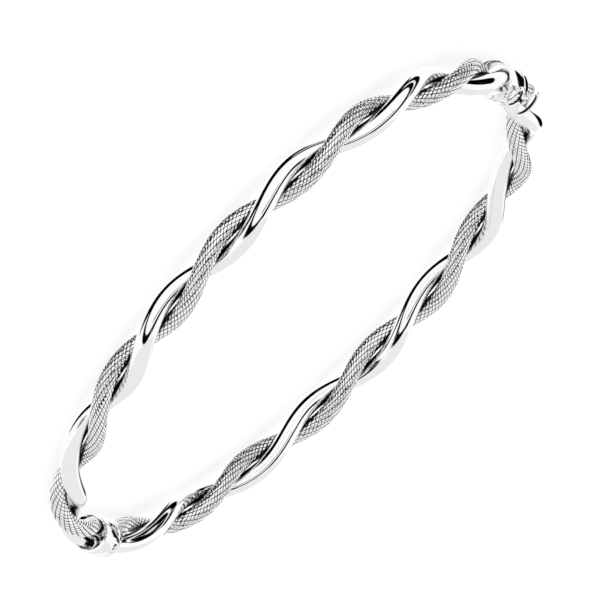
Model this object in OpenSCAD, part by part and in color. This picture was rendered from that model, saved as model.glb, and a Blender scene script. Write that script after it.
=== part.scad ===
// Twisted bangle: a hinged oval of two round strands, one plain and polished, one woven.
// The bangle lies on its side on the floor, z = 0, with its hollow upright.
// The hinge is at +X and the clasp at -X. The near half is at -Y and the far half at +Y.

/* [Oval] */
// Half the length of the oval, from its middle to the hinge end, along the middle of the rope
half_long = 32; // [26:0.5:38]
// Half the width of the oval, along the middle of the rope
half_wide = 26.8; // [22:0.1:32]
// How much flatter the two ends are than an ellipse
end_flat = 0.025; // [0:0.005:0.05]
// How much wider the clasp side is than the hinge side
egg = 0.068; // [0:0.002:0.1]

/* [Strands] */
// Diameter of each strand
strand_d = 1.95; // [1.6:0.05:2.1]
// Gap between the two strands
strand_gap = 0.1; // [0.06:0.01:0.2]
// Diameter to which the near half's strands narrow inside their cups
strand_end_d = 1.7; // [1.4:0.05:1.75]
// Length over which a strand narrows before its cup
narrow_run = 3; // [1:0.5:5]
// Length of rope in which the strands make one left-handed turn
pitch = 18.3; // [14:0.1:24]
// Place of the near polished strand round the rope at the hinge end, from outward towards up
near_start = 28.2; // [0:0.2:360]
// Place of the far polished strand round the rope at the hinge end, from outward towards up
far_start = -103; // [-180:0.5:180]

/* [Cups] */
// Diameter of the end cups and plates
cup_d = 4.3; // [4.2:0.05:4.8]
// Thickness of a cup's rim
cup_wall = 0.3; // [0.2:0.05:0.35]
// Depth of the bore that takes the strands' ends
cup_bore_deep = 1.3; // [1:0.1:1.5]
// How far the strands' ends go into a cup
strand_in = 0.8; // [0.4:0.1:1.2]
// Length of the near half's hinge cup
hinge_cup_len = 3.1; // [2.8:0.1:5]
// Length of the near half's clasp cup
clasp_cup_len = 3.8; // [3.6:0.1:6]
// Thickness of the far half's end plates
plate_t = 1.2; // [1:0.1:2]

/* [Hinge] */
// Distance of the hinge's joint from the long axis, towards the far half
hinge_joint_y = 2.2; // [0:0.1:3]
// Distance of the pin from the middle of the cup, towards the wrist
pin_in = 0.35; // [0:0.05:0.6]
// Diameter of the hinge pin
pin_d = 0.7; // [0.5:0.05:0.8]
// Diameter of the knuckles round the pin
knuckle_d = 1.6; // [1.4:0.05:1.8]
// Height of the far half's middle knuckle
mid_knuckle_h = 1.4; // [1:0.1:1.8]
// Running clearance of the pin in the far knuckle, on the radius
pin_clear = 0.05; // [0.02:0.01:0.08]
// Angle by which the near cup's outer side is cut back from the joint
near_relief = 38; // [30:1:45]
// Angle by which the far plate's outer side is cut back from the joint
far_relief = 14; // [13:1:20]

/* [Clasp] */
// Distance of the clasp's joint from the long axis, towards the far half
clasp_joint_y = 0.5; // [0:0.1:2]
// How far the clasp's middle lies in from the end of the oval
clasp_in = 0.12; // [0:0.02:0.2]
// Width of the tongue, across the rope
tongue_w = 2.1; // [1.6:0.1:2.3]
// Height of the tongue
tongue_h = 1.1; // [0.8:0.1:1.3]
// Length of the tongue
tongue_len = 1.9; // [1.4:0.1:1.9]
// Clearance round the tongue in its box
tongue_clear = 0.15; // [0.1:0.01:0.2]

/* [Safety catch] */
// Diameter of the catch's wire
wire_d = 0.42; // [0.36:0.02:0.46]
// Height of the catch's wire above the middle of the cups
catch_up = 2.52; // [2.5:0.02:2.8]
// Distance of the catch's pivot from the clasp's joint
catch_back = 2.6; // [2.2:0.1:3]
// Half the length of the straight bar that turns in the knuckle
bar_half = 0.85; // [0.8:0.05:0.95]
// Radius of the loop at the knuckle
near_loop_r = 1.15; // [1:0.05:1.3]
// Radius of the loop round the peg
far_loop_r = 1.5; // [1.4:0.05:1.7]
// Radius of the wire's inward bends at the waist
waist_bend_r = 0.9; // [0.7:0.05:1.2]
// Half the distance between the two wires at the waist
waist_half = 0.33; // [0.3:0.01:0.4]
// Outer diameter of the knuckle that holds the catch
catch_knuckle_d = 1; // [0.9:0.02:1.1]
// Length of that knuckle
catch_knuckle_len = 1.1; // [0.9:0.05:1.15]
// Clearance of the wire in that knuckle, on the radius
wire_clear = 0.04; // [0.02:0.01:0.06]
// Diameter of the ball on the peg
ball_d = 0.7; // [0.6:0.02:0.72]
// Distance of the peg from the clasp's joint
peg_y = 0.7; // [0.6:0.05:0.8]
// Diameter of the peg's stem
stem_d = 0.36; // [0.3:0.02:0.4]

/* [Smoothness] */
// Sides of a strand's round section
strand_sides = 12; // [10:1:16]
// Distance between the sections of a strand
section_step = 1.15; // [1:0.05:1.5]
// Sides of the catch's wire
wire_sides = 8; // [8:2:12]
// Turn between the sections of the catch's wire
wire_turn_step = 15; // [8:1:20]
// Fineness of the turned parts
fine = 48; // [32:8:96]

/* [Hidden] */
$fn = fine;

near = -1;
far = 1;
// Gap between the two halves at the joints, and between pieces that are seated on each other
joint_gap = 0.1;
seat_gap = 0.05;
// Clearance of a fixed pin in its hole, on the radius
pin_fixed_clear = 0.02;
// Length of rope over which a far strand's section turns to lie flat on its plate
lean_run = 3;
// Height of the cups' middle above the floor, and the places of the pin and of the catch
lift = cup_d/2;
pin_x = half_long - pin_in;
clasp_x = clasp_in - half_long;
catch_y = clasp_joint_y - catch_back;

// The rope's middle line
// The angle t runs from 0 at the hinge end to 180 at the clasp end of either half.
function ring_x(t) = half_long*(cos(t) - end_flat*cos(3*t))/(1 - end_flat);
function ring_y(t, side) = side*half_wide*sin(t)*(1 - egg*cos(t));
function ring_at(t, side) = [ring_x(t), ring_y(t, side)];

// Distance along the rope for each angle, counted from the hinge end
t_first = -10;
t_last = 190;
function piece_len(t) = norm(ring_at(t + 1, far) - ring_at(t, far));
run = [for (t = t_first, s = 0; t <= t_last; s = s + piece_len(t), t = t + 1) [s, t]];
flip_run = [for (row = run) [row[1], row[0]]];
run_at_hinge = lookup(0, flip_run);
rope_len = lookup(180, flip_run) - run_at_hinge;
function angle_at(s) = lookup(s + run_at_hinge, run);

// Outward direction from the rope's middle line at a distance s along it
function rope_dir(s, side) =
    let(step = ring_at(angle_at(s) + 0.5, side) - ring_at(angle_at(s) - 0.5, side))
    step/norm(step);
function outward(s, side) =
    let(d = rope_dir(s, side))
    side*[d[1], -d[0]];

// A point of a strand's section, out from the rope's middle line and up from its middle height
// The section lies across the rope, so it is a little wider than it is deep.
function strand_off(d) = d/2 + strand_gap/2;
function slope(d) = atan(360/pitch*strand_off(d)*PI/180);
function section_point(place, d, a) =
    let(
        deep = strand_off(d) + d/2*cos(a),
        wide = d/2*sin(a)/cos(slope(d))
    )
    [deep*cos(place) - wide*sin(place), deep*sin(place) + wide*cos(place)];

// The same point in the bangle, for a strand that starts at a place round the rope
function place_at(s, side, start) = start + side*360*s/pitch;
function strand_point(s, side, start, d, a) =
    let(
        p = ring_at(angle_at(s), side),
        n = outward(s, side),
        q = section_point(place_at(s, side, start), d, a)
    )
    [p[0] + q[0]*n[0], p[1] + q[0]*n[1], q[1] + lift];

// The near strands narrow towards both ends, and the far strands keep their size.
function ease(u) = let(v = min(max(u, 0), 1)) v*v*(3 - 2*v);
function near_d(s, s_first, s_last) =
    let(left = min(s - s_first, s_last - s) - strand_in)
    strand_end_d + (strand_d - strand_end_d)*ease(left/narrow_run);

// How far along the rope each point of a far strand's section leans, to end flat on its plate
function lean(s, s_first, s_last, out) =
    let(
        dir = rope_dir(s, far),
        part = 1 - ease(min(s - s_first, s_last - s)/lean_run)
    )
    part*out*dir[0]/dir[1];

// The faces of a tube of count + 1 sections, with its two flat ends
function tube_faces(count, sides) = concat(
    [
        for (i = [0:count - 1], j = [0:sides - 1])
            let(
                a = i*sides + j,
                b = i*sides + (j + 1)%sides
            )
            each [[a, b, b + sides], [a, b + sides, a + sides]]
    ],
    [[for (j = [sides - 1:-1:0]) j], [for (j = [0:sides - 1]) count*sides + j]]
);
function reverse(f) = [for (i = [len(f) - 1:-1:0]) f[i]];

// One strand, from the distance s_first to s_last along its half of the rope
module strand(side, start, s_first, s_last) {
    count = ceil((s_last - s_first)/section_step);
    points = [
        for (i = [0:count])
            let(
                s = s_first + (s_last - s_first)*i/count,
                d = side == near ? near_d(s, s_first, s_last) : strand_d
            )
            for (j = [0:strand_sides - 1])
                let(
                    a = 360*j/strand_sides,
                    out = section_point(place_at(s, side, start), d, a)[0],
                    shift = side == near ? 0 : lean(s, s_first, s_last, out)
                )
                strand_point(s + shift, side, start, d, a)
    ];
    skin = tube_faces(count, strand_sides);
    polyhedron(points, side == near ? [for (f = skin) reverse(f)] : skin);
}

// The near strands end in the cups' bores, and the far strands end on the plates.
near_first = -(hinge_joint_y - hinge_cup_len + strand_in);
near_last = rope_len + clasp_joint_y - clasp_cup_len + strand_in;
far_first = hinge_joint_y + joint_gap + plate_t + seat_gap;
far_last = rope_len - clasp_joint_y - joint_gap - plate_t - seat_gap;

module near_polished_strand() {
    color("white") strand(near, near_start, near_first, near_last);
}

module near_mesh_strand() {
    color("silver") strand(near, near_start + 180, near_first, near_last);
}

module far_polished_strand() {
    color("white") strand(far, far_start, far_first, far_last);
}

module far_mesh_strand() {
    color("silver") strand(far, far_start + 180, far_first, far_last);
}

// A rod along Y, from y_from to y_to, round the rope's middle height
module rod_y(x, y_from, y_to, d) {
    translate([x, y_from, lift]) rotate([-90, 0, 0]) cylinder(h = y_to - y_from, d = d);
}

// An upright rod round the hinge's axis, from z_from to z_to above the cups' middle
module rod_at_pin(z_from, z_to, d) {
    translate([pin_x, hinge_joint_y, lift + z_from]) cylinder(h = z_to - z_from, d = d);
}

// A block whose corner edge is the hinge's axis, turned by an angle from the X direction
module wedge_at_pin(turn) {
    translate([pin_x, hinge_joint_y, -1]) rotate([0, 0, turn]) cube(cup_d + 2);
}

mouth_hinge_y = hinge_joint_y - hinge_cup_len;
lug_from = mid_knuckle_h/2 + seat_gap;

// The near cup holds the strands in its bore and carries an upper and a lower knuckle.
module near_hinge_cup() {
    color("gainsboro")
    difference() {
        union() {
            difference() {
                rod_y(half_long, mouth_hinge_y, hinge_joint_y, cup_d);
                wedge_at_pin(-near_relief);
            }
            intersection() {
                rod_y(half_long, mouth_hinge_y, hinge_joint_y + knuckle_d, cup_d);
                rod_at_pin(-lift, lift, knuckle_d);
            }
        }
        rod_y(half_long, mouth_hinge_y - 1, mouth_hinge_y + cup_bore_deep, cup_d - 2*cup_wall);
        rod_at_pin(-lug_from, lug_from, knuckle_d + 2*joint_gap);
        rod_at_pin(-lift - 1, lift + 1, pin_d + 2*pin_fixed_clear);
    }
}

// The pin is fixed in the near cup, and its upper end is a low dome.
module hinge_pin() {
    pin_proud = 0.08;
    dome_h = 0.12;
    foot = -sqrt(pow(cup_d/2, 2) - pow(pin_in + pin_d/2, 2));
    top = sqrt(pow(cup_d/2, 2) - pow(pin_in, 2)) + pin_proud;
    dome_r = (pow(pin_d/2, 2) + pow(dome_h, 2))/(2*dome_h);
    color("white")
    intersection() {
        rod_at_pin(foot, top, pin_d);
        translate([pin_x, hinge_joint_y, lift + top - dome_r]) {
            sphere(dome_r);
            translate([0, 0, -cup_d - dome_r]) cylinder(h = cup_d + dome_r, r = dome_r);
        }
    }
}

// The far plate carries the middle knuckle, which turns on the pin.
module far_hinge_plate() {
    y_from = hinge_joint_y + joint_gap;
    color("gainsboro")
    difference() {
        union() {
            difference() {
                rod_y(half_long, y_from, y_from + plate_t, cup_d);
                wedge_at_pin(far_relief - 90);
                rod_at_pin(lug_from - seat_gap, lift + 1, knuckle_d + 2*joint_gap);
                rod_at_pin(-lift - 1, seat_gap - lug_from, knuckle_d + 2*joint_gap);
            }
            rod_at_pin(-mid_knuckle_h/2, mid_knuckle_h/2, knuckle_d);
        }
        rod_at_pin(-lift - 1, lift + 1, pin_d + 2*pin_clear);
    }
}

mouth_clasp_y = clasp_joint_y - clasp_cup_len;

// A tongue-shaped block, grown by a clearance on its sides and its tip
module tongue_block(grow, y_to) {
    w = tongue_w + 2*grow;
    h = tongue_h + 2*grow;
    translate([clasp_x - w/2, clasp_joint_y - tongue_len - grow, lift - h/2])
        cube([w, y_to - clasp_joint_y + tongue_len + grow, h]);
}

// A rod along X, at the catch's pivot, centred on the clasp
module rod_at_catch(length, d) {
    translate([clasp_x - length/2, catch_y, lift + catch_up]) rotate([0, 90, 0])
        cylinder(h = length, d = d);
}

// The near cup holds the strands, the box for the tongue and the catch's knuckle.
module near_clasp_cup() {
    saddle_t = 0.8;
    saddle_sink = 0.3;
    color("gainsboro")
    difference() {
        union() {
            rod_y(clasp_x, mouth_clasp_y, clasp_joint_y, cup_d);
            rod_at_catch(catch_knuckle_len, catch_knuckle_d);
            translate([clasp_x - catch_knuckle_len/2, catch_y - saddle_t/2, 2*lift - saddle_sink])
                cube([catch_knuckle_len, saddle_t, saddle_sink + catch_up - lift]);
        }
        rod_y(clasp_x, mouth_clasp_y - 1, mouth_clasp_y + cup_bore_deep, cup_d - 2*cup_wall);
        tongue_block(tongue_clear, clasp_joint_y + 1);
        rod_at_catch(cup_d, wire_d + 2*wire_clear);
    }
}

// Depth of the peg's blind hole in the far plate
stem_sink = 0.6;

// The far plate carries the tongue and has a blind hole for the peg.
module far_clasp_plate() {
    y_from = clasp_joint_y + joint_gap;
    color("gainsboro")
    difference() {
        union() {
            rod_y(clasp_x, y_from, y_from + plate_t, cup_d);
            tongue_block(0, y_from + plate_t/2);
        }
        peg_rod(cup_d/2 - stem_sink, lift + 1, stem_d + 2*pin_fixed_clear);
    }
}

// An upright rod round the peg's axis, from z_from to z_to above the cups' middle
module peg_rod(z_from, z_to, d) {
    translate([clasp_x, clasp_joint_y + peg_y, lift + z_from]) cylinder(h = z_to - z_from, d = d);
}

// The peg is a ball on a stem, with the ball in the middle of the catch's larger loop.
module catch_peg() {
    color("white") {
        peg_rod(cup_d/2 - stem_sink + seat_gap, catch_up, stem_d);
        translate([clasp_x, clasp_joint_y + peg_y, lift + catch_up]) sphere(d = ball_d);
    }
}

// The catch's loops and bends touch smoothly, so the bends' middles follow from their radii.
bend_x = waist_bend_r + waist_half;
near_loop_y = sqrt(pow(near_loop_r, 2) - pow(bar_half, 2));
bend_y = near_loop_y + sqrt(pow(near_loop_r + waist_bend_r, 2) - pow(bend_x, 2));
far_loop_y = bend_y + sqrt(pow(far_loop_r + waist_bend_r, 2) - pow(bend_x, 2));
near_turn = atan2(bend_y - near_loop_y, bend_x);
far_turn = atan2(far_loop_y - bend_y, bend_x);
bar_turn = atan2(near_loop_y, bar_half);

// The wire's bends, each with its middle point, its radius, and its first and last angle
right_bends = [
    [0, near_loop_y, near_loop_r, -bar_turn, near_turn],
    [bend_x, bend_y, waist_bend_r, 180 + near_turn, 180 - far_turn]
];
left_bends = [
    [-bend_x, bend_y, waist_bend_r, far_turn, -near_turn],
    [0, near_loop_y, near_loop_r, 180 - near_turn, 180 + bar_turn]
];
bends = concat(right_bends, [[0, far_loop_y, far_loop_r, -far_turn, 180 + far_turn]], left_bends);

// The wire's path as rows of x, y and heading
wire_path = [
    for (k = [0:len(bends) - 1])
        let(
            bend = bends[k],
            turn = bend[4] - bend[3],
            steps = ceil(abs(turn)/wire_turn_step)
        )
        for (i = [(k == 0 ? 0 : 1):steps])
            let(a = bend[3] + turn*i/steps)
            [bend[0] + bend[2]*cos(a), bend[1] + bend[2]*sin(a), a + 90*sign(turn)]
];

// A round wire along a flat path, with open ends closed by flat faces
module wire_along(path, sides, d) {
    count = len(path) - 1;
    points = [
        for (row = path, j = [0:sides - 1])
            let(
                across = d/2*cos(360*j/sides),
                up = d/2*sin(360*j/sides)
            )
            [row[0] + across*sin(row[2]), row[1] - across*cos(row[2]), up]
    ];
    polyhedron(points, tube_faces(count, sides));
}

// The catch is one wire: a bar in the knuckle, a small loop, a waist and a larger loop.
module safety_catch() {
    corner_grow = 0.04;
    color("white")
    translate([clasp_x, catch_y, lift + catch_up]) {
        rotate([0, 90, 0]) cylinder(h = 2*bar_half, d = wire_d, center = true);
        for (hand = [-1, 1]) translate([hand*bar_half, 0, 0]) sphere(d = wire_d + corner_grow);
        wire_along(wire_path, wire_sides, wire_d);
    }
}

near_polished_strand();
near_mesh_strand();
near_hinge_cup();
near_clasp_cup();
hinge_pin();
far_polished_strand();
far_mesh_strand();
far_hinge_plate();
far_clasp_plate();
catch_peg();
safety_catch();
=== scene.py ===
"""Looks of the twisted bangle: polished and woven strands, end cups, hinge and safety catch."""
import math

import bmesh
import bpy
import numpy as np
from mathutils import Matrix, Vector


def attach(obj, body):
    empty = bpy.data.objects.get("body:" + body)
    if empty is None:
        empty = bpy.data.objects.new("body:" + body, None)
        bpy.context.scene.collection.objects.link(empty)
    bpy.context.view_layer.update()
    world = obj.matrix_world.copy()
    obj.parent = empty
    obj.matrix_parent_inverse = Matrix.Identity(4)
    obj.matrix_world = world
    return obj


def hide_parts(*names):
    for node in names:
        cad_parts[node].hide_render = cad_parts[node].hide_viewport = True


MM = 0.001
NEAR, FAR = -1, 1

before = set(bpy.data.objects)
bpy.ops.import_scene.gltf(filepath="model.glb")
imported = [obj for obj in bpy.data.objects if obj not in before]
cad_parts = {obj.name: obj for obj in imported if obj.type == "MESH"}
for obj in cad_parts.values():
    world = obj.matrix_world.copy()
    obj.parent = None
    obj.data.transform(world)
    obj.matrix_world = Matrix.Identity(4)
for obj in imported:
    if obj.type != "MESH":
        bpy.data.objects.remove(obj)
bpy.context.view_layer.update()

# The oval of the rope's middle line, in millimetres, as in the part's source
HALF_LONG = 32.0
HALF_WIDE = 26.8
END_FLAT = 0.025
EGG = 0.068

# The strands and the cups
STRAND_D = 1.95
STRAND_GAP = 0.1
STRAND_END_D = 1.7
NARROW_RUN = 3.0
LEAN_RUN = 3.0
PITCH = 18.3
NEAR_START = 28.2
FAR_START = -103.0
CUP_D = 4.3
STRAND_IN = 0.8
HINGE_CUP_LEN = 3.1
CLASP_CUP_LEN = 3.8
PLATE_T = 1.2
JOINT_GAP = 0.1
SEAT_GAP = 0.05
HINGE_JOINT_Y = 2.2
PIN_IN = 0.35
CLASP_JOINT_Y = 0.5
CLASP_IN = 0.12
LIFT = CUP_D / 2

# The safety catch and its peg
WIRE_D = 0.42
CATCH_UP = 2.52
CATCH_BACK = 2.6
BAR_HALF = 0.85
NEAR_LOOP_R = 1.15
FAR_LOOP_R = 1.5
WAIST_BEND_R = 0.9
WAIST_HALF = 0.33
BALL_D = 0.7
PEG_Y = 0.7
STEM_D = 0.36
STEM_SINK = 0.6

CLASP_X = CLASP_IN - HALF_LONG
CATCH_Y = CLASP_JOINT_Y - CATCH_BACK


# The rope's middle line. A table turns distances along it into angles of the oval.
TABLE_OVERRUN = 10.0
HALF_STEP = 0.5


def ring(t, side):
    """Points of the middle line at the angles t in degrees, from the hinge end to the clasp end."""
    c, s, c3 = np.cos(np.radians(t)), np.sin(np.radians(t)), np.cos(np.radians(3 * t))
    x = HALF_LONG * (c - END_FLAT * c3) / (1 - END_FLAT)
    return np.stack([x, side * HALF_WIDE * s * (1 - EGG * c)], axis=-1)


T_TABLE = np.arange(-TABLE_OVERRUN, 180 + TABLE_OVERRUN + 1)
STEP_TABLE = np.linalg.norm(np.diff(ring(T_TABLE, FAR), axis=0), axis=1)
RUN_TABLE = np.concatenate([[0.0], np.cumsum(STEP_TABLE)])
RUN_AT_HINGE = np.interp(0, T_TABLE, RUN_TABLE)
ROPE_LEN = np.interp(180, T_TABLE, RUN_TABLE) - RUN_AT_HINGE


def rope_frame(s, side):
    """The middle line's points, directions and outward directions at distances s along it."""
    t = np.interp(s + RUN_AT_HINGE, RUN_TABLE, T_TABLE)
    step = ring(t + HALF_STEP, side) - ring(t - HALF_STEP, side)
    d = step / np.linalg.norm(step, axis=-1, keepdims=True)
    out = side * np.stack([d[..., 1], -d[..., 0]], axis=-1)
    return ring(t, side), d, out


def ease(u):
    """A smooth step from 0 to 1."""
    v = np.clip(u, 0, 1)
    return v * v * (3 - 2 * v)


class Strand:
    """One strand of a half, as it runs from first to last along the rope.

    Its points are given by the distance s along the rope, the angle a round the strand, which is 0 where it
    faces away from the rope's middle, and the share r of the strand's radius with grow added to it.
    """

    def __init__(self, side, start):
        self.side = side
        self.start = start
        if side == NEAR:
            self.first = -(HINGE_JOINT_Y - HINGE_CUP_LEN + STRAND_IN)
            self.last = ROPE_LEN + CLASP_JOINT_Y - CLASP_CUP_LEN + STRAND_IN
        else:
            self.first = HINGE_JOINT_Y + JOINT_GAP + PLATE_T + SEAT_GAP
            self.last = ROPE_LEN - CLASP_JOINT_Y - JOINT_GAP - PLATE_T - SEAT_GAP

    def section(self, s, a, r, grow):
        """How far a point lies outward and up from the rope's middle line."""
        left = np.minimum(s - self.first, self.last - s)
        d = np.full_like(s, STRAND_D)
        if self.side == NEAR:
            d = STRAND_END_D + (STRAND_D - STRAND_END_D) * ease((left - STRAND_IN) / NARROW_RUN)
        off = d / 2 + STRAND_GAP / 2
        slope = np.arctan(2 * math.pi * off / PITCH)
        place = np.radians(self.start + self.side * 360 * s / PITCH)
        deep = off + (d / 2 * r + grow) * np.cos(a)
        wide = (d / 2 * r + grow) * np.sin(a) / np.cos(slope)
        return deep * np.cos(place) - wide * np.sin(place), deep * np.sin(place) + wide * np.cos(place)

    def at(self, s, a, r=1.0, grow=0.0):
        """Points in millimetres. The ends of a far strand lean to lie flat on their plates."""
        s, a = np.broadcast_arrays(np.asarray(s, float), np.asarray(a, float))
        out, up = self.section(s, a, r, grow)
        if self.side == FAR:
            d = rope_frame(s, FAR)[1]
            share = 1 - ease(np.minimum(s - self.first, self.last - s) / LEAN_RUN)
            s = s + share * out * d[..., 0] / d[..., 1]
            out, up = self.section(s, a, r, grow)
        p, _, n = rope_frame(s, self.side)
        return np.stack([p[..., 0] + out * n[..., 0], p[..., 1] + out * n[..., 1], up + LIFT], axis=-1)


# Mesh tools
def mesh_piece(name, points, faces, smooth=True):
    """A mesh object from points in millimetres and faces."""
    mesh = bpy.data.meshes.new(name)
    mesh.from_pydata((np.asarray(points).reshape(-1, 3) * MM).tolist(), [], faces)
    mesh.update()
    mesh.polygons.foreach_set("use_smooth", [smooth] * len(mesh.polygons))
    piece = bpy.data.objects.new(name, mesh)
    bpy.context.scene.collection.objects.link(piece)
    return piece


def grid_faces(count, sides, closed=False):
    """Quads of a tube of count rings, optionally closed on itself."""
    rows = count if closed else count - 1
    i = np.arange(rows)[:, None]
    j = np.arange(sides)[None, :]
    nxt = (i + 1) % count
    jn = (j + 1) % sides
    a, b = i * sides + j, i * sides + jn
    c, d = nxt * sides + jn, nxt * sides + j
    return np.stack([a, b, c, d], axis=-1).reshape(-1, 4).tolist()


def turn_outward(piece):
    """Turns the faces of a closed piece so that they look outward."""
    bm = bmesh.new()
    bm.from_mesh(piece.data)
    bmesh.ops.recalc_face_normals(bm, faces=bm.faces)
    bm.to_mesh(piece.data)
    bm.free()
    return piece


def sharpen_borders(piece):
    """Makes the edges between two materials sharp."""
    bm = bmesh.new()
    bm.from_mesh(piece.data)
    for edge in bm.edges:
        edge.smooth = len({face.material_index for face in edge.link_faces}) == 1
    bm.to_mesh(piece.data)
    bm.free()


def strand_tube(name, strand, sides, step, r=1.0):
    """A closed tube on a strand, at a share r of its radius."""
    count = int(math.ceil((strand.last - strand.first) / step)) + 1
    s = np.linspace(strand.first, strand.last, count)[:, None]
    a = np.linspace(0, 2 * math.pi, sides, endpoint=False)[None, :]
    points = strand.at(s, a, r)
    faces = grid_faces(count, sides)
    faces.append(list(range(sides))[::-1])
    faces.append([(count - 1) * sides + j for j in range(sides)])
    tube = turn_outward(mesh_piece(name, points, faces))
    # The side of each strand that faces the other strand gets painted shade
    mark_shade_side(tube, np.broadcast_to(-np.cos(a), (count, sides)))
    return tube


def mark_shade_side(piece, toward):
    """Writes on each vertex how far it faces the side that painted shade blackens, from -1 to 1."""
    layer = piece.data.attributes.new("shade_side", "FLOAT", "POINT")
    layer.data.foreach_set("value", np.asarray(toward, dtype=np.float32).ravel())


# The weave: flat wires of two hands cross over and under, and each crossing shows the wire that lies on top.
# A crossing is a lozenge between two wire edges of each hand. Its rows are shares of its length or width.
WEAVE_COUNT = 12
WEAVE_LAY = 9.6
WEAVE_ROWS = (0.0, 0.085, 0.36, 0.64, 0.915)
WEAVE_FLANK = (1.0, 0.62, 0.05, 0.05, 0.62)
WEAVE_DIVE = (1.0, 0.62, 0.08, 0.08, 0.62)
WEAVE_DEPTH = 0.1
WEAVE_SINK = 0.03
WEAVE_TILT = 0.03
WEAVE_SEED = 7
CORE_SHARE = 0.85


def weave_grid(count):
    """The numbers of the lozenges round a strand and along it, and of the rows across each both ways."""
    rows = np.arange(len(WEAVE_ROWS))
    return np.meshgrid(np.arange(WEAVE_COUNT), np.arange(count), rows, rows, indexing="ij")


def weave_points(strand, per_mm, first, last):
    """The points of the rows of all lozenges, and their angles round the strand."""
    i, m, p, q = weave_grid(last - first)
    m = m + first
    shares, flank, dive = (np.array(row) for row in (WEAVE_ROWS, WEAVE_FLANK, WEAVE_DIVE))
    u, v = i + shares[p], i + m + shares[q]
    right_on_top = m % 2 == 1
    depth = np.where(right_on_top, np.maximum(flank[q], dive[p]), np.maximum(flank[p], dive[q]))
    a = (u + v) * math.pi / WEAVE_COUNT
    s = np.clip((v - u) / per_mm, strand.first, strand.last)
    rng = np.random.default_rng(WEAVE_SEED)
    tilt_p, tilt_q = rng.uniform(-WEAVE_TILT, WEAVE_TILT, (2, WEAVE_COUNT, last - first, 1, 1))
    lean = np.where((p > 0) & (q > 0), tilt_p * (shares[p] - 0.5) + tilt_q * (shares[q] - 0.5), 0)
    return strand.at(s, a, 1.0, lean - WEAVE_SINK - WEAVE_DEPTH * depth), a


def weave_faces(count):
    """The quads between the rows, and for each of them whether it gets the painted shade between the wires.

    The last corners of a lozenge belong to the next ones. Where there is none beyond, the quad is left out.
    """
    rows = len(WEAVE_ROWS)
    i, m, p, q = weave_grid(count)
    numbers, inside = [], []
    for dp, dq in ((0, 0), (1, 0), (1, 1), (0, 1)):
        next_u = (p + dp == rows).astype(int)
        next_v = (q + dq == rows).astype(int)
        along = m + next_v - next_u
        lozenge = (i + next_u) % WEAVE_COUNT * count + along
        numbers.append((lozenge * rows + (p + dp) % rows) * rows + (q + dq) % rows)
        inside.append((along >= 0) & (along < count))
    whole = np.all(inside, axis=0)
    edge = (p == 0) | (p == rows - 1) | (q == 0) | (q == rows - 1)
    return np.stack(numbers, axis=-1)[whole].tolist(), edge[whole].astype(int).tolist()


def weave(name, strand):
    """The woven skin of a strand, and for each face whether it gets the painted shade between the wires."""
    per_mm = 2 * WEAVE_COUNT / WEAVE_LAY
    first, last = math.floor(strand.first * per_mm), math.ceil(strand.last * per_mm)
    points, a = weave_points(strand, per_mm, first, last)
    faces, dark = weave_faces(last - first)
    skin = turn_outward(mesh_piece(name, points, faces))
    # The side of each strand that faces the other strand gets painted shade
    mark_shade_side(skin, -np.cos(a))
    return skin, dark


# Materials. Noise scales are per metre of the object's own coordinates.
# The black of the painted shade
SHADE_BLACK = (0.015, 0.015, 0.016, 1)
TARNISH = 0.94
PATCH_SCALE = 700.0
PATCH_DETAIL = 4.0
PATCH_LOW = 0.35
PATCH_HIGH = 0.7
MARK_DETAIL = 3.0
MARK_DEPTH = 0.02 * MM


def new_material(name):
    mat = bpy.data.materials.new(name)
    mat.use_nodes = True
    return mat, mat.node_tree, mat.node_tree.nodes["Principled BSDF"]


def noise(tree, coords, scale, detail):
    texture = tree.nodes.new("ShaderNodeTexNoise")
    texture.inputs["Scale"].default_value = scale
    texture.inputs["Detail"].default_value = detail
    tree.links.new(coords.outputs["Object"], texture.inputs["Vector"])
    return texture.outputs["Fac"]


def map_range(tree, value, start, end, low=0.0, high=1.0, kind="LINEAR"):
    """Runs from low to high as the value goes from start to end."""
    node = tree.nodes.new("ShaderNodeMapRange")
    node.interpolation_type = kind
    for socket, number in (("From Min", start), ("From Max", end), ("To Min", low), ("To Max", high)):
        node.inputs[socket].default_value = number
    tree.links.new(value, node.inputs["Value"])
    return node.outputs["Result"]


def mix_to(tree, color, factor):
    """A mix that ends at the colour. What it starts from is still to be set."""
    node = tree.nodes.new("ShaderNodeMix")
    node.data_type = "RGBA"
    node.inputs["B"].default_value = color
    tree.links.new(factor, node.inputs["Factor"])
    return node


def shade_share(tree, coords, where, low, high):
    """How far painted shade blackens the metal, from 0 to 1."""
    if where == "down":
        parts = tree.nodes.new("ShaderNodeSeparateXYZ")
        tree.links.new(coords.outputs["Normal"], parts.inputs["Vector"])
        value, low, high = parts.outputs["Z"], -low, -high
    elif where == "pin":
        flat = tree.nodes.new("ShaderNodeVectorMath")
        flat.operation = "MULTIPLY"
        flat.inputs[1].default_value = (1, 1, 0)
        tree.links.new(coords.outputs["Object"], flat.inputs[0])
        away = tree.nodes.new("ShaderNodeVectorMath")
        away.operation = "DISTANCE"
        away.inputs[1].default_value = ((HALF_LONG - PIN_IN) * MM, HINGE_JOINT_Y * MM, 0)
        tree.links.new(flat.outputs["Vector"], away.inputs[0])
        value = away.outputs["Value"]
    else:
        shade_side = tree.nodes.new("ShaderNodeAttribute")
        shade_side.attribute_name = where
        value = shade_side.outputs["Fac"]
    return map_range(tree, value, low, high, kind="SMOOTHSTEP")


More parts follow.
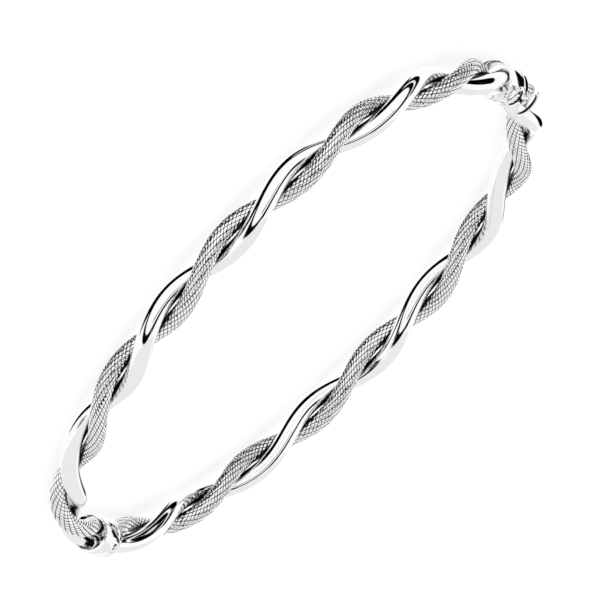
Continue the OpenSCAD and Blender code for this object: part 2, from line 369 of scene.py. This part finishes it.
def metal(name, color, rough, rough_vary, bump, bump_scale, painted_shade=None):
    """A bright metal with faint polishing marks, tarnish in patches and an uneven gloss.

    The last argument names where painted shade blackens the metal, with the values at which the black begins
    and
    is full: "down" is how far the surface faces the ground, "pin" is the distance from the hinge's axis, and
    any other name is the attribute of that name, which marks the side that painted shade blackens.
    """
    mat, tree, shader = new_material(name)
    shader.inputs["Metallic"].default_value = 1.0
    coords = tree.nodes.new("ShaderNodeTexCoord")
    patches = noise(tree, coords, PATCH_SCALE, PATCH_DETAIL)
    gloss = map_range(tree, patches, PATCH_LOW, PATCH_HIGH, rough, rough + rough_vary)
    tree.links.new(gloss, shader.inputs["Roughness"])
    tint = mix_to(tree, (*[TARNISH * c for c in color], 1), patches)
    tint.inputs["A"].default_value = (*color, 1)
    shade = tint.outputs["Result"]
    if painted_shade:
        # Painted shade: black mixed into the metal's colour
        shade_mix = mix_to(tree, SHADE_BLACK, shade_share(tree, coords, *painted_shade))
        tree.links.new(shade, shade_mix.inputs["A"])
        shade = shade_mix.outputs["Result"]
    tree.links.new(shade, shader.inputs["Base Color"])
    relief = tree.nodes.new("ShaderNodeBump")
    relief.inputs["Strength"].default_value = bump
    relief.inputs["Distance"].default_value = MARK_DEPTH
    tree.links.new(noise(tree, coords, bump_scale, MARK_DETAIL), relief.inputs["Height"])
    tree.links.new(relief.outputs["Normal"], shader.inputs["Normal"])
    return mat


# Painted shade: black is painted where the two strands are close, inside the catch's loops, under the ball
# and round the pin, where shade falls
SHADE_BETWEEN_STRANDS = ("shade_side", 0.78, 0.95)
SHADE_IN_LOOPS = ("shade_side", 0.6, 0.92)
SHADE_UNDERNEATH = ("down", -0.4, -0.05)
SHADE_ROUND_PIN = ("pin", 0.21 * MM, 0.25 * MM)

SMALL_COLOR = (0.91, 0.91, 0.915)
DARK_COLOR = (0.012, 0.012, 0.013)
SMALL_FINISH = {"rough": 0.06, "rough_vary": 0.06, "bump": 0.08, "bump_scale": 5000.0}

# Painted shade blackens the strands where they face each other, the pin round its rim, the ball underneath
# and the catch's wire inside its loops
POLISHED = metal("polished_tube", (0.93, 0.93, 0.935),
                 rough=0.03, rough_vary=0.04, bump=0.05, bump_scale=3000.0, painted_shade=SHADE_BETWEEN_STRANDS)
FITTINGS = metal("polished_fittings", (0.92, 0.92, 0.925),
                 rough=0.04, rough_vary=0.06, bump=0.08, bump_scale=4000.0)
PIN = metal("polished_pin", SMALL_COLOR, painted_shade=SHADE_ROUND_PIN, **SMALL_FINISH)
BALL = metal("polished_ball", SMALL_COLOR, painted_shade=SHADE_UNDERNEATH, **SMALL_FINISH)
WIRE = metal("polished_catch", SMALL_COLOR, painted_shade=SHADE_IN_LOOPS, **SMALL_FINISH)
WOVEN = metal("woven_wire", (0.985, 0.985, 0.99),
              rough=0.08, rough_vary=0.08, bump=0.1, bump_scale=6000.0, painted_shade=SHADE_BETWEEN_STRANDS)
# Near-black metals: painted shade between the weave's wires, and in the core painted shade inside the weave
SHADE_BETWEEN_WIRES = metal("painted_shade_between_wires", DARK_COLOR, rough=0.4, rough_vary=0.2, bump=0.15, bump_scale=6000.0)
SHADE_CORE = metal("painted_shade_core", DARK_COLOR, rough=0.5, rough_vary=0.1, bump=0.1, bump_scale=4000.0)


def dress(piece, mat, body, slot, *nodes):
    """Gives a piece its material and its body, and hides the nodes that it replaces, given by name. The slot
    is not used.
    """
    piece.data.materials.clear()
    piece.data.materials.append(mat)
    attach(piece, body)
    if nodes:
        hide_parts(*nodes)
    return piece


# The strands
TUBE_SIDES = 40
TUBE_STEP = 0.3
CORE_SIDES = 20
CORE_STEP = 0.6


def add_strands():
    for label, side, start in (("near", NEAR, NEAR_START), ("far", FAR, FAR_START)):
        body = label + "_half"
        tube = strand_tube(label + "_polished_tube", Strand(side, start), TUBE_SIDES, TUBE_STEP)
        dress(tube, POLISHED, body, "polished_strand", label + "_polished_strand")
        woven = Strand(side, start + 180)
        # A near-black core under the weave: painted shade that shows through the gaps between the wires
        core = strand_tube(label + "_woven_core", woven, CORE_SIDES, CORE_STEP, CORE_SHARE)
        dress(core, SHADE_CORE, body, "woven_strand", label + "_mesh_strand")
        skin, dark = weave(label + "_weave", woven)
        dress(skin, WOVEN, body, "woven_strand", label + "_mesh_strand")
        # The faces between the wires get a near-black metal: painted shade between the wires
        skin.data.materials.append(SHADE_BETWEEN_WIRES)
        skin.data.polygons.foreach_set("material_index", dark)
        sharpen_borders(skin)


# The safety catch
TURN_STEP = 5.0
CORNER = 0.3
CORNER_POINTS = 8
BAR_POINTS = 7
WIRE_SIDES = 16


def catch_path():
    """The closed middle line of the catch's wire, with round corners at the bar's ends."""
    bend_x = WAIST_BEND_R + WAIST_HALF
    near_y = math.sqrt(NEAR_LOOP_R ** 2 - BAR_HALF ** 2)
    bend_y = near_y + math.sqrt((NEAR_LOOP_R + WAIST_BEND_R) ** 2 - bend_x ** 2)
    far_y = bend_y + math.sqrt((FAR_LOOP_R + WAIST_BEND_R) ** 2 - bend_x ** 2)
    near_turn = math.degrees(math.atan2(bend_y - near_y, bend_x))
    far_turn = math.degrees(math.atan2(far_y - bend_y, bend_x))
    bar_turn = math.degrees(math.atan2(near_y, BAR_HALF))
    cut = math.degrees(CORNER / NEAR_LOOP_R)
    # Each bend has its middle, its radius and its first and last angle
    bends = [
        (0, near_y, NEAR_LOOP_R, -bar_turn + cut, near_turn),
        (bend_x, bend_y, WAIST_BEND_R, 180 + near_turn, 180 - far_turn),
        (0, far_y, FAR_LOOP_R, -far_turn, 180 + far_turn),
        (-bend_x, bend_y, WAIST_BEND_R, far_turn, -near_turn),
        (0, near_y, NEAR_LOOP_R, 180 - near_turn, 180 + bar_turn - cut),
    ]
    points = []
    for x, y, r, first, last in bends:
        steps = math.ceil(abs(last - first) / TURN_STEP)
        for i in range(1 if points else 0, steps + 1):
            a = math.radians(first + (last - first) * i / steps)
            points.append((x + r * math.cos(a), y + r * math.sin(a)))

    def round_corner(p0, p1, p2):
        p0, p1, p2 = (np.array(p) for p in (p0, p1, p2))
        shares = np.linspace(0, 1, CORNER_POINTS)[1:-1]
        return [tuple((1 - u) ** 2 * p0 + 2 * u * (1 - u) * p1 + u * u * p2) for u in shares]

    left_in, right_in = (-BAR_HALF + CORNER, 0.0), (BAR_HALF - CORNER, 0.0)
    points += round_corner(points[-1], (-BAR_HALF, 0.0), left_in)
    points += [(x, 0.0) for x in np.linspace(left_in[0], right_in[0], BAR_POINTS)]
    points += round_corner(right_in, (BAR_HALF, 0.0), points[0])
    return np.array(points)


def make_catch():
    flat = catch_path()
    step = np.roll(flat, -1, axis=0) - np.roll(flat, 1, axis=0)
    step /= np.linalg.norm(step, axis=1, keepdims=True)
    side_dir = np.stack([step[:, 1], -step[:, 0], 0 * step[:, 0]], axis=1)[:, None, :]
    up = np.array([0, 0, 1.0])
    a = np.linspace(0, 2 * math.pi, WIRE_SIDES, endpoint=False)
    around = a[None, :, None]
    middle = np.column_stack([flat, 0 * flat[:, 0]]) + [CLASP_X, CATCH_Y, LIFT + CATCH_UP]
    rings = middle[:, None, :] + WIRE_D / 2 * (side_dir * np.cos(around) + up * np.sin(around))
    wire = turn_outward(mesh_piece("catch_wire", rings, grid_faces(len(flat), WIRE_SIDES, closed=True)))
    # The wire's sides inside its loops get painted shade
    mark_shade_side(wire, np.broadcast_to(-np.cos(a), (len(flat), WIRE_SIDES)))
    return wire


# The catch's peg
BALL_STEPS = 20
BALL_SIDES = 32
STEM_CLEAR = 0.02


def lathe(name, profile, sides, middle):
    """A turned piece about an upright axis, from rows of radius and height, both ends on the axis."""
    a = np.linspace(0, 2 * math.pi, sides, endpoint=False)
    inner = profile[1:-1]
    rings = [[(r * math.cos(t), r * math.sin(t), z) for t in a] for r, z in inner]
    points = [p for row in rings for p in row]
    points += [(0, 0, profile[0][1]), (0, 0, profile[-1][1])]
    faces = grid_faces(len(inner), sides)
    low, high = len(points) - 2, len(points) - 1
    top = (len(inner) - 1) * sides
    faces += [[low, (j + 1) % sides, j] for j in range(sides)]
    faces += [[high, top + j, top + (j + 1) % sides] for j in range(sides)]
    return turn_outward(mesh_piece(name, np.array(points) + middle, faces))


def make_peg():
    """The ball and its stem, turned in one piece."""
    r = BALL_D / 2
    stem = STEM_D / 2
    low = CUP_D / 2 - STEM_SINK + SEAT_GAP - CATCH_UP
    start = math.asin(stem / r)
    ball = [(r * math.sin(t), -r * math.cos(t)) for t in np.linspace(start, math.pi, BALL_STEPS)]
    profile = [(0, low), (stem, low), (stem, -r * math.cos(start) - STEM_CLEAR)] + ball
    profile[-1] = (0, r)
    return lathe("peg_and_ball", profile, BALL_SIDES, [CLASP_X, CLASP_JOINT_Y + PEG_Y, LIFT + CATCH_UP])


# The turned and cut fittings keep their solids, with their edges broken
EDGE = 0.06
EDGE_STEPS = 3
EDGE_ANGLE = 35.0
WELD = 0.0005


def dress_fittings():
    for node, mat in (
        ("near_hinge_cup", FITTINGS), ("near_clasp_cup", FITTINGS), ("far_hinge_plate", FITTINGS),
        ("far_clasp_plate", FITTINGS), ("hinge_pin", PIN),
    ):
        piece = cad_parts[node]
        for slot in piece.material_slots:
            slot.material = mat
        weld = piece.modifiers.new("weld", "WELD")
        weld.merge_threshold = WELD * MM
        bevel = piece.modifiers.new("bevel", "BEVEL")
        bevel.width = EDGE * MM
        bevel.segments = EDGE_STEPS
        bevel.limit_method = "ANGLE"
        bevel.angle_limit = math.radians(EDGE_ANGLE)
        bevel.harden_normals = True


# The camera, from the photo's fit
CAM_ELEVATION = 20.69
CAM_AZIMUTH = -8.06
CAM_ROLL = 135.29
CAM_DISTANCE = 671.0
FOCAL_PX = 6460.0
PHOTO_PX = 600.0
AIM_PX = (296.27, 309.48)
SENSOR = 36.0
CLIP_START = 50.0
CLIP_END = 20000.0


def view_axes():
    """The picture's right and up and the direction back to the camera, in the scene."""
    az, el, roll = (math.radians(v) for v in (CAM_AZIMUTH, CAM_ELEVATION, CAM_ROLL))
    back = Vector((math.sin(az) * math.cos(el), -math.cos(az) * math.cos(el), math.sin(el)))
    right = Vector((math.cos(az), math.sin(az), 0))
    up = Vector((-math.sin(az) * math.sin(el), math.cos(az) * math.sin(el), math.cos(el)))
    x = right * math.cos(roll) + up * math.sin(roll)
    y = -right * math.sin(roll) + up * math.cos(roll)
    return x, y, back


def add_camera():
    x, y, back = view_axes()
    data = bpy.data.cameras.new("camera")
    data.sensor_width = SENSOR
    data.lens = FOCAL_PX / PHOTO_PX * SENSOR
    data.clip_start = CLIP_START * MM
    data.clip_end = CLIP_END * MM
    px = CAM_DISTANCE / FOCAL_PX
    place = Vector((0, 0, LIFT)) + back * CAM_DISTANCE
    place += x * (PHOTO_PX / 2 - AIM_PX[0]) * px + y * (AIM_PX[1] - PHOTO_PX / 2) * px
    camera = bpy.data.objects.new("camera", data)
    bpy.context.scene.collection.objects.link(camera)
    camera.matrix_world = Matrix((
        (x.x, y.x, back.x, place.x * MM),
        (x.y, y.y, back.y, place.y * MM),
        (x.z, y.z, back.z, place.z * MM),
        (0, 0, 0, 1),
    ))
    bpy.context.scene.camera = camera


# The floor glows a little, so that shadows on it stay pale, and polished metal doesn't reflect it
FLOOR_HALF = 3000.0
FLOOR_GREY = 0.4
FLOOR_ROUGH = 0.9
FLOOR_GLOW = 0.74


def add_floor():
    corners = [(x * FLOOR_HALF, y * FLOOR_HALF, 0) for x, y in ((-1, -1), (1, -1), (1, 1), (-1, 1))]
    floor = mesh_piece("floor", corners, [[0, 1, 2, 3]], smooth=False)
    mat, _, shader = new_material("floor_white")
    shader.inputs["Base Color"].default_value = (FLOOR_GREY, FLOOR_GREY, FLOOR_GREY, 1)
    shader.inputs["Roughness"].default_value = FLOOR_ROUGH
    shader.inputs["Emission Color"].default_value = (1, 1, 1, 1)
    shader.inputs["Emission Strength"].default_value = FLOOR_GLOW
    floor.data.materials.append(mat)
    floor.visible_glossy = False


# The studio: a white tent about the camera, with a black seam and more black strips, and a pale grey table
# below in the picture. A direction is given by its tilt from the camera and its turn in the picture from the
# picture's right, in degrees. A strip lies between two angles from the tent's middle, within reach of a side.
TENT = (27.0, 85.0)
SEAM = (53.0, 66.0)
STRIPS = {
    "above": {"edges": (71.0, 84.0), "side": (90.0, 55.0), "reach": 45.0},
    "right": {"edges": (54.0, 72.0), "side": (75.0, -20.0), "reach": 35.0},
    "left": {"edges": (60.0, 100.0), "side": (105.0, 137.0), "reach": 39.0},
    "back": {"edges": (120.0, 150.0), "side": (150.0, 4.0), "reach": 14.5},
    "fold": {"edges": (37.0, 42.5), "side": (45.0, -35.0), "reach": 35.0},
}
TABLE = (100.0, -95.0)
TABLE_REACH = 62.0
TABLE_GREY = 0.84
EDGE_SOFT = 1.5
LIGHT = 1.08


def add_studio():
    world = bpy.data.worlds.new("studio")
    bpy.context.scene.world = world
    world.use_nodes = True
    tree = world.node_tree
    tree.nodes.clear()
    coords = tree.nodes.new("ShaderNodeTexCoord")
    x, y, back = view_axes()

    def calculate(operation, first, second=None):
        node = tree.nodes.new("ShaderNodeMath")
        node.operation = operation
        tree.links.new(first, node.inputs[0])
        if second is not None:
            tree.links.new(second, node.inputs[1])
        return node.outputs[0]

    def angle_from(tilt, turn):
        """The angle of a direction from the one named, in radians."""
        tilt, turn = math.radians(tilt), math.radians(turn)
        dot = tree.nodes.new("ShaderNodeVectorMath")
        dot.operation = "DOT_PRODUCT"
        tree.links.new(coords.outputs["Generated"], dot.inputs[0])
        across = x * math.cos(turn) + y * math.sin(turn)
        dot.inputs[1].default_value = back * math.cos(tilt) + across * math.sin(tilt)
        return calculate("ARCCOSINE", dot.outputs["Value"])

    def step_at(angle, place, low, high):
        start, end = math.radians(place - EDGE_SOFT), math.radians(place + EDGE_SOFT)
        return map_range(tree, angle, start, end, low, high, kind="SMOOTHSTEP")

    def within(angle, reach, value=1.0):
        return step_at(angle, reach, value, 0.0)

    def strip(angle, low, high):
        return calculate("MULTIPLY", step_at(angle, low, 0.0, 1.0), step_at(angle, high, 1.0, 0.0))

    tent = angle_from(*TENT)
    dark = strip(tent, *SEAM)
    for part in STRIPS.values():
        area = within(angle_from(*part["side"]), part["reach"])
        dark = calculate("MAXIMUM", dark, calculate("MULTIPLY", strip(tent, *part["edges"]), area))
    table = within(angle_from(*TABLE), TABLE_REACH, 1 - TABLE_GREY)

    # Rays from the camera see plain white, and all others see the studio
    light = tree.nodes.new("ShaderNodeMath")
    light.operation = "SUBTRACT"
    light.inputs[0].default_value = 1.0
    tree.links.new(calculate("MAXIMUM", dark, table), light.inputs[1])
    tent_light = tree.nodes.new("ShaderNodeBackground")
    tree.links.new(light.outputs[0], tent_light.inputs["Color"])
    tent_light.inputs["Strength"].default_value = LIGHT
    plain = tree.nodes.new("ShaderNodeBackground")
    plain.inputs["Color"].default_value = (1, 1, 1, 1)
    path = tree.nodes.new("ShaderNodeLightPath")
    choose = tree.nodes.new("ShaderNodeMixShader")
    tree.links.new(path.outputs["Is Camera Ray"], choose.inputs["Fac"])
    tree.links.new(tent_light.outputs["Background"], choose.inputs[1])
    tree.links.new(plain.outputs["Background"], choose.inputs[2])
    output = tree.nodes.new("ShaderNodeOutputWorld")
    tree.links.new(choose.outputs["Shader"], output.inputs["Surface"])


add_strands()
dress(make_catch(), WIRE, "catch", "small_parts", "safety_catch")
dress(make_peg(), BALL, "far_half", "small_parts", "catch_peg")
dress_fittings()
add_camera()
add_floor()
add_studio()
bpy.context.scene.view_settings.view_transform = "Standard"
